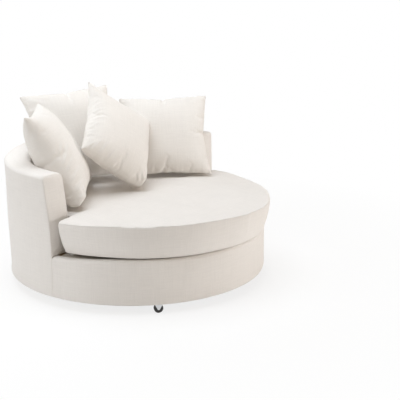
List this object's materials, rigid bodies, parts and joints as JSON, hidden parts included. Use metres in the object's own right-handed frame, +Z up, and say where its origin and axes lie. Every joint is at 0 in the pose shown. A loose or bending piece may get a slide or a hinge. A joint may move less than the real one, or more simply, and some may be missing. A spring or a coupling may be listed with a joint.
{
  "type": "swivel_barrel_chair",
  "caption": "Round, deep-seated swivel chair with a padded barrel wall, a loose crowned seat cushion and loose square pillows, in light woven cloth on a low drum base with hidden casters",
  "frame": {"origin": "on the swivel axis at the level of the floor", "axes": "+Z up, -Y towards the front, +X to the right hand of somebody facing the chair's front"},
  "size_m": [1.3086, 1.3324, 0.958],
  "materials": {
    "chair_cloth": "cream plain weave with a fine slub",
    "seat_cloth": "the same cream plain weave over feather and foam",
    "pillow_cloth": "the same cream plain weave over loose filling",
    "webbing": "dark woven elastic webbing",
    "deck_cloth": "quilted platform cloth",
    "dust_cloth": "black non-woven dust cover",
    "plywood": "bare plywood",
    "softwood": "planed softwood",
    "fibreboard": "thin bent fibreboard",
    "black_steel": "satin black powder coat",
    "zinc_steel": "zinc-plated steel",
    "ball_steel": "polished bearing steel",
    "pad_rubber": "matte black rubber",
    "tyre_rubber": "soft grey-black tread",
    "hub_plastic": "moulded nylon"
  },
  "bodies": {
    "base": {"floor_pads": "pad_rubber", "floor_plate": "black_steel", "lower_race": "zinc_steel", "lower_race_rivets": "zinc_steel", "swivel_balls": "ball_steel", "ball_cage": "zinc_steel"},
    "frame": {"upper_race": "zinc_steel", "upper_race_rivets": "zinc_steel", "swivel_plate": "black_steel", "swivel_plate_bolts": "zinc_steel", "bottom_board": "plywood", "dust_cover": "dust_cloth", "drum_posts": "softwood", "deck_ring": "plywood", "webbing_across": "webbing", "webbing_along": "webbing", "deck_cover": "deck_cloth", "front_border": "chair_cloth", "border_lip": "chair_cloth", "outer_cover": "chair_cloth", "back_panel": "fibreboard", "inner_panel": "fibreboard", "top_rail": "plywood", "wall_posts": "softwood", "arm_end_boards": "plywood", "inner_back_pad": "chair_cloth", "rim_pad": "chair_cloth", "arm_pad_left": "chair_cloth", "arm_pad_right": "chair_cloth", "caster_brackets": "zinc_steel", "caster_axles": "zinc_steel", "caster_screws": "zinc_steel"},
    "seat": {"seat_cushion": "seat_cloth"},
    "side_pillow": {"pillow_back_side": "pillow_cloth"},
    "back_pillow": {"pillow_back_centre": "pillow_cloth"},
    "arm_pillow": {"pillow_over_arm": "pillow_cloth"},
    "small_pillow": {"pillow_front_small": "pillow_cloth"},
    "wheel_front_left": {"caster_tyre_front_left": "tyre_rubber", "caster_hub_front_left": "hub_plastic"},
    "wheel_front_right": {"caster_tyre_front_right": "tyre_rubber", "caster_hub_front_right": "hub_plastic"},
    "wheel_rear_right": {"caster_tyre_rear_right": "tyre_rubber", "caster_hub_rear_right": "hub_plastic"},
    "wheel_rear_left": {"caster_tyre_rear_left": "tyre_rubber", "caster_hub_rear_left": "hub_plastic"}
  },
  "joints": [
    {"name": "swivel", "type": "hinge", "parent": "base", "child": "frame", "pos_m": [0, 0, 0.035], "axis": [0, 0, 1], "continuous": true},
    {"name": "seat_lift", "type": "slide", "parent": "frame", "child": "seat", "axis": [0, 0, 1], "range_m": [0, 0.3]},
    {"name": "side_pillow_lift", "type": "slide", "parent": "seat", "child": "side_pillow", "axis": [0, 0, 1], "range_m": [0, 0.4]},
    {"name": "back_pillow_lift", "type": "slide", "parent": "side_pillow", "child": "back_pillow", "axis": [0, 0, 1], "range_m": [0, 0.4]},
    {"name": "arm_pillow_lift", "type": "slide", "parent": "back_pillow", "child": "arm_pillow", "axis": [0, 0, 1], "range_m": [0, 0.4]},
    {"name": "small_pillow_lift", "type": "slide", "parent": "arm_pillow", "child": "small_pillow", "axis": [0, 0, 1], "range_m": [0, 0.4]},
    {"name": "front_left_wheel", "type": "hinge", "parent": "frame", "child": "wheel_front_left", "pos_m": [-0.41684, -0.4549, 0.0215], "axis": [-0.6756, -0.7373, 0], "continuous": true},
    {"name": "front_right_wheel", "type": "hinge", "parent": "frame", "child": "wheel_front_right", "pos_m": [0.41684, -0.4549, 0.0215], "axis": [0.6756, -0.7373, 0], "continuous": true},
    {"name": "rear_right_wheel", "type": "hinge", "parent": "frame", "child": "wheel_rear_right", "pos_m": [0.41684, 0.4549, 0.0215], "axis": [0.6756, 0.7373, 0], "continuous": true},
    {"name": "rear_left_wheel", "type": "hinge", "parent": "frame", "child": "wheel_rear_left", "pos_m": [-0.41684, 0.4549, 0.0215], "axis": [-0.6756, 0.7373, 0], "continuous": true}
  ]
}
